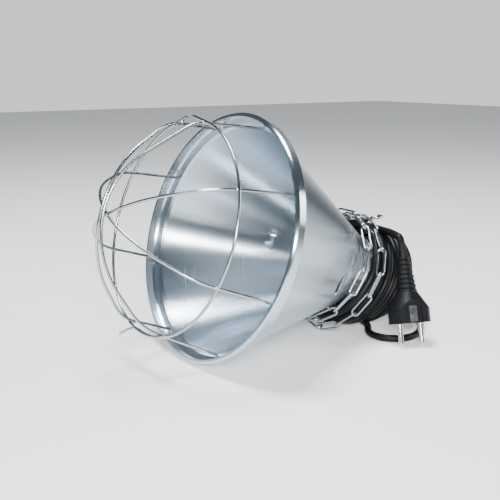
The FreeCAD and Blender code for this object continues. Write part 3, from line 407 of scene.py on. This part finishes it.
def plain_metal(name, colour, low, high, grain=900.0, relief=0.00002):
    finish = Finish(name, colour, Metallic=1.0)
    finish.rough(finish.noise(160.0), low, high)
    finish.tint(finish.spread(finish.noise(60.0), 0.0, 0.4), tuple(part * 0.75 for part in colour))
    return finish.bump(finish.noise(grain, 2.0), relief, 0.4)


def moulded(name, colour, low, high, grain=1400.0, relief=0.00004, dust=0.10, **sockets):
    """Plastic, rubber or glaze with a slight grain and a breath of dust."""
    finish = Finish(name, colour, **sockets)
    finish.rough(finish.noise(240.0), low, high)
    finish.tint(finish.spread(finish.noise(45.0), 0.0, dust), tuple(0.35 + part * 0.5 for part in colour))
    return finish.bump(finish.noise(grain, 2.0), relief, 0.5)


def make_finishes():
    finishes = [
        spun_metal("spun_aluminium", (0.52, 0.585, 0.64), 700.0, 0.20, 0.29),
        spun_metal("cap_aluminium", (0.66, 0.68, 0.71), 1000.0, 0.24, 0.38),
        plain_metal("zinc_screws", (0.66, 0.67, 0.67), 0.26, 0.42),
        moulded("ceramic_body", (0.86, 0.84, 0.77), 0.10, 0.22, 300.0, 0.00004, 0.06, Coat_Weight=0.5,
                Coat_Roughness=0.06),
        plain_metal("brass_parts", (0.78, 0.62, 0.34), 0.22, 0.38),
        plain_metal("spring_steel", (0.62, 0.62, 0.63), 0.20, 0.30),
        moulded("gland_plastic", (0.022, 0.022, 0.024), 0.34, 0.48),
        moulded("gland_rubber", (0.03, 0.03, 0.03), 0.55, 0.70),
        moulded("cord_rubber", (0.0035, 0.004, 0.005), 0.34, 0.48, 1500.0, 0.00002, 0.004,
                Specular_IOR_Level=0.16),
        moulded("core_brown", (0.25, 0.10, 0.04), 0.35, 0.45),
        moulded("core_blue", (0.04, 0.14, 0.42), 0.35, 0.45),
        moulded("core_green", (0.16, 0.42, 0.06), 0.35, 0.45),
        plain_metal("guard_wire", (0.44, 0.46, 0.47), 0.18, 0.28, 400.0, 0.000003),
        plain_metal("chain_zinc", (0.42, 0.44, 0.45), 0.14, 0.24, 400.0, 0.000003),
        moulded("plug_moulding", (0.004, 0.0045, 0.0055), 0.40, 0.52, 1500.0, 0.00002, 0.004,
                Specular_IOR_Level=0.15),
        plain_metal("pin_nickel", (0.80, 0.79, 0.76), 0.12, 0.24),
    ]
    return {finish.name: finish.material for finish in finishes}


CREASE = 32.0
BENT_WIRE_CREASE = 75.0
ARRIS_ANGLE = 38.0


def dress(obj, material, crease=CREASE):
    """Give a piece its finish, shaded smooth except across edges sharper than the crease angle."""
    mesh = obj.data
    mesh.materials.clear()
    mesh.materials.append(material)
    if obj.type != "MESH":
        return
    for polygon in mesh.polygons:
        polygon.use_smooth = True
    mesh.set_sharp_from_angle(angle=math.radians(crease))


def soften(obj, width):
    """Rounded arrises on a moulded or pressed piece."""
    edge = obj.modifiers.new("arris", "BEVEL")
    edge.width = width * MM
    edge.segments = 3
    edge.limit_method = "ANGLE"
    edge.angle_limit = math.radians(ARRIS_ANGLE)
    edge.harden_normals = False


def make_piece(name, body, material, corners, faces):
    """A mesh piece from millimetre points in the lamp frame, riding on a body."""
    mesh = bpy.data.meshes.new(name)
    mesh.from_pydata([from_lamp(corner) for corner in corners], [], faces)
    piece = bpy.data.objects.new(name, mesh)
    bpy.context.scene.collection.objects.link(piece)
    dress(piece, FINISHES[material])
    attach(piece, body)
    return piece


# ---------------------------------------------------------------- lamp thread

def make_thread():
    """Rolled brass shell with the round E27 thread, drawn in to the floor of the lampholder."""
    around, rows = 72, 90
    start, seat, end = 134.0, 149.8, 157.6
    pitch, crest_radius, depth = 3.62, 13.52, 0.35
    run_in, floor_draw, wall = 1.2, 3.0, 0.3
    corners, faces = [], []
    for row in range(rows + 1):
        along = start + (end - start) * row / rows
        taper = max((along - seat) / (end - seat), 0.0)
        fade = min((along - start) / run_in, 1.0) * (1 - min(taper * 3, 1.0))
        for column in range(around):
            degrees = 360.0 * column / around
            wave = math.cos(math.tau * ((along - start) / pitch - column / around))
            radius = crest_radius - depth * fade * (1 + wave) / 2 - floor_draw * taper
            corners.append(polar(radius, degrees, along))
    for row in range(rows):
        for column in range(around):
            after = (column + 1) % around
            faces.append((row * around + column, row * around + after,
                          (row + 1) * around + after, (row + 1) * around + column))
    shell = make_piece("thread_shell", "lamp", "brass_parts", corners, faces)
    skin = shell.modifiers.new("wall", "SOLIDIFY")
    skin.thickness = wall * MM
    skin.offset = 1.0
    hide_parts("screw_shell")


# ---------------------------------------------------------------- welds

HOOP_LEVEL = -41.0
HOOP_REACH = 4.0
WELD_OUT = 1.0
WELD_SIZE = (1.7, 1.7, 1.9)


def blob(corners, faces, centre, size, around=10, rings=6):
    """Add a squashed ball to a mesh in the making."""
    first = len(corners)
    for ring in range(rings + 1):
        tilt = math.pi * ring / rings
        for column in range(around):
            turn = math.tau * column / around
            across = math.sin(tilt)
            offset = Vector((across * math.cos(turn), across * math.sin(turn), math.cos(tilt)))
            corners.append(centre + Vector(a * b for a, b in zip(offset, size)))
    for ring in range(rings):
        for column in range(around):
            after = (column + 1) % around
            low, high = first + ring * around, first + (ring + 1) * around
            faces.append((low + column, high + column, high + after, low + after))


def make_welds():
    """Small beads of weld where the guard's wires cross the hoop."""
    corners, faces = [], []
    to_lamp = LAMP.inverted()
    for name in ("guard_wire_a", "guard_wire_b", "guard_wire_c", "guard_wire_d"):
        points = [to_lamp @ vertex.co / MM for vertex in nodes[name].data.vertices]
        ring = [point for point in points if abs(point.z - HOOP_LEVEL) < HOOP_REACH]
        side = ring[0].normalized()
        for sign in (1, -1):
            group = [point for point in ring if sign * point.xy.dot(side.xy) > 0]
            centre = sum(group, Vector()) / len(group)
            out = Vector((centre.x, centre.y, 0)).normalized() * WELD_OUT
            blob(corners, faces, Vector((centre.x, centre.y, HOOP_LEVEL)) + out, WELD_SIZE)
    make_piece("welds", "guard", "guard_wire", corners, faces)


# ---------------------------------------------------------------- the whole scene

BENT_WIRES = ("guard_", "chain_first", "chain_second")
PLUG_LENGTH = 59.0

# width of the rounding on the arrises of moulded and pressed pieces
ROUNDED = (
    ("plug_body", 0.9),
    ("plug_strain_relief", 0.35),
    ("gland_dome_nut", 0.3),
    ("gland_body", 0.3),
    ("cap_screws", 0.25),
    ("chain_eye", 0.25),
    ("holder_body", 0.4),
    ("plug_pins", 0.2),
)

make_camera()
make_room()
for light in LIGHTS:
    area_light(*light)
make_floor()
nodes = frame["nodes"]
FINISHES = make_finishes()
SLOTS = {part["node"]: part["material_slot"] for part in frame["record"]["subparts"]}
for name, node in nodes.items():
    dress(node, FINISHES[SLOTS[name]], BENT_WIRE_CREASE if name.startswith(BENT_WIRES) else CREASE)
for name, width in ROUNDED:
    soften(nodes[name], width)
cord = make_cord(PLUG @ Vector((0, 0, PLUG_LENGTH * MM)))
dress(cord, FINISHES["cord_rubber"])
make_thread()
make_welds()
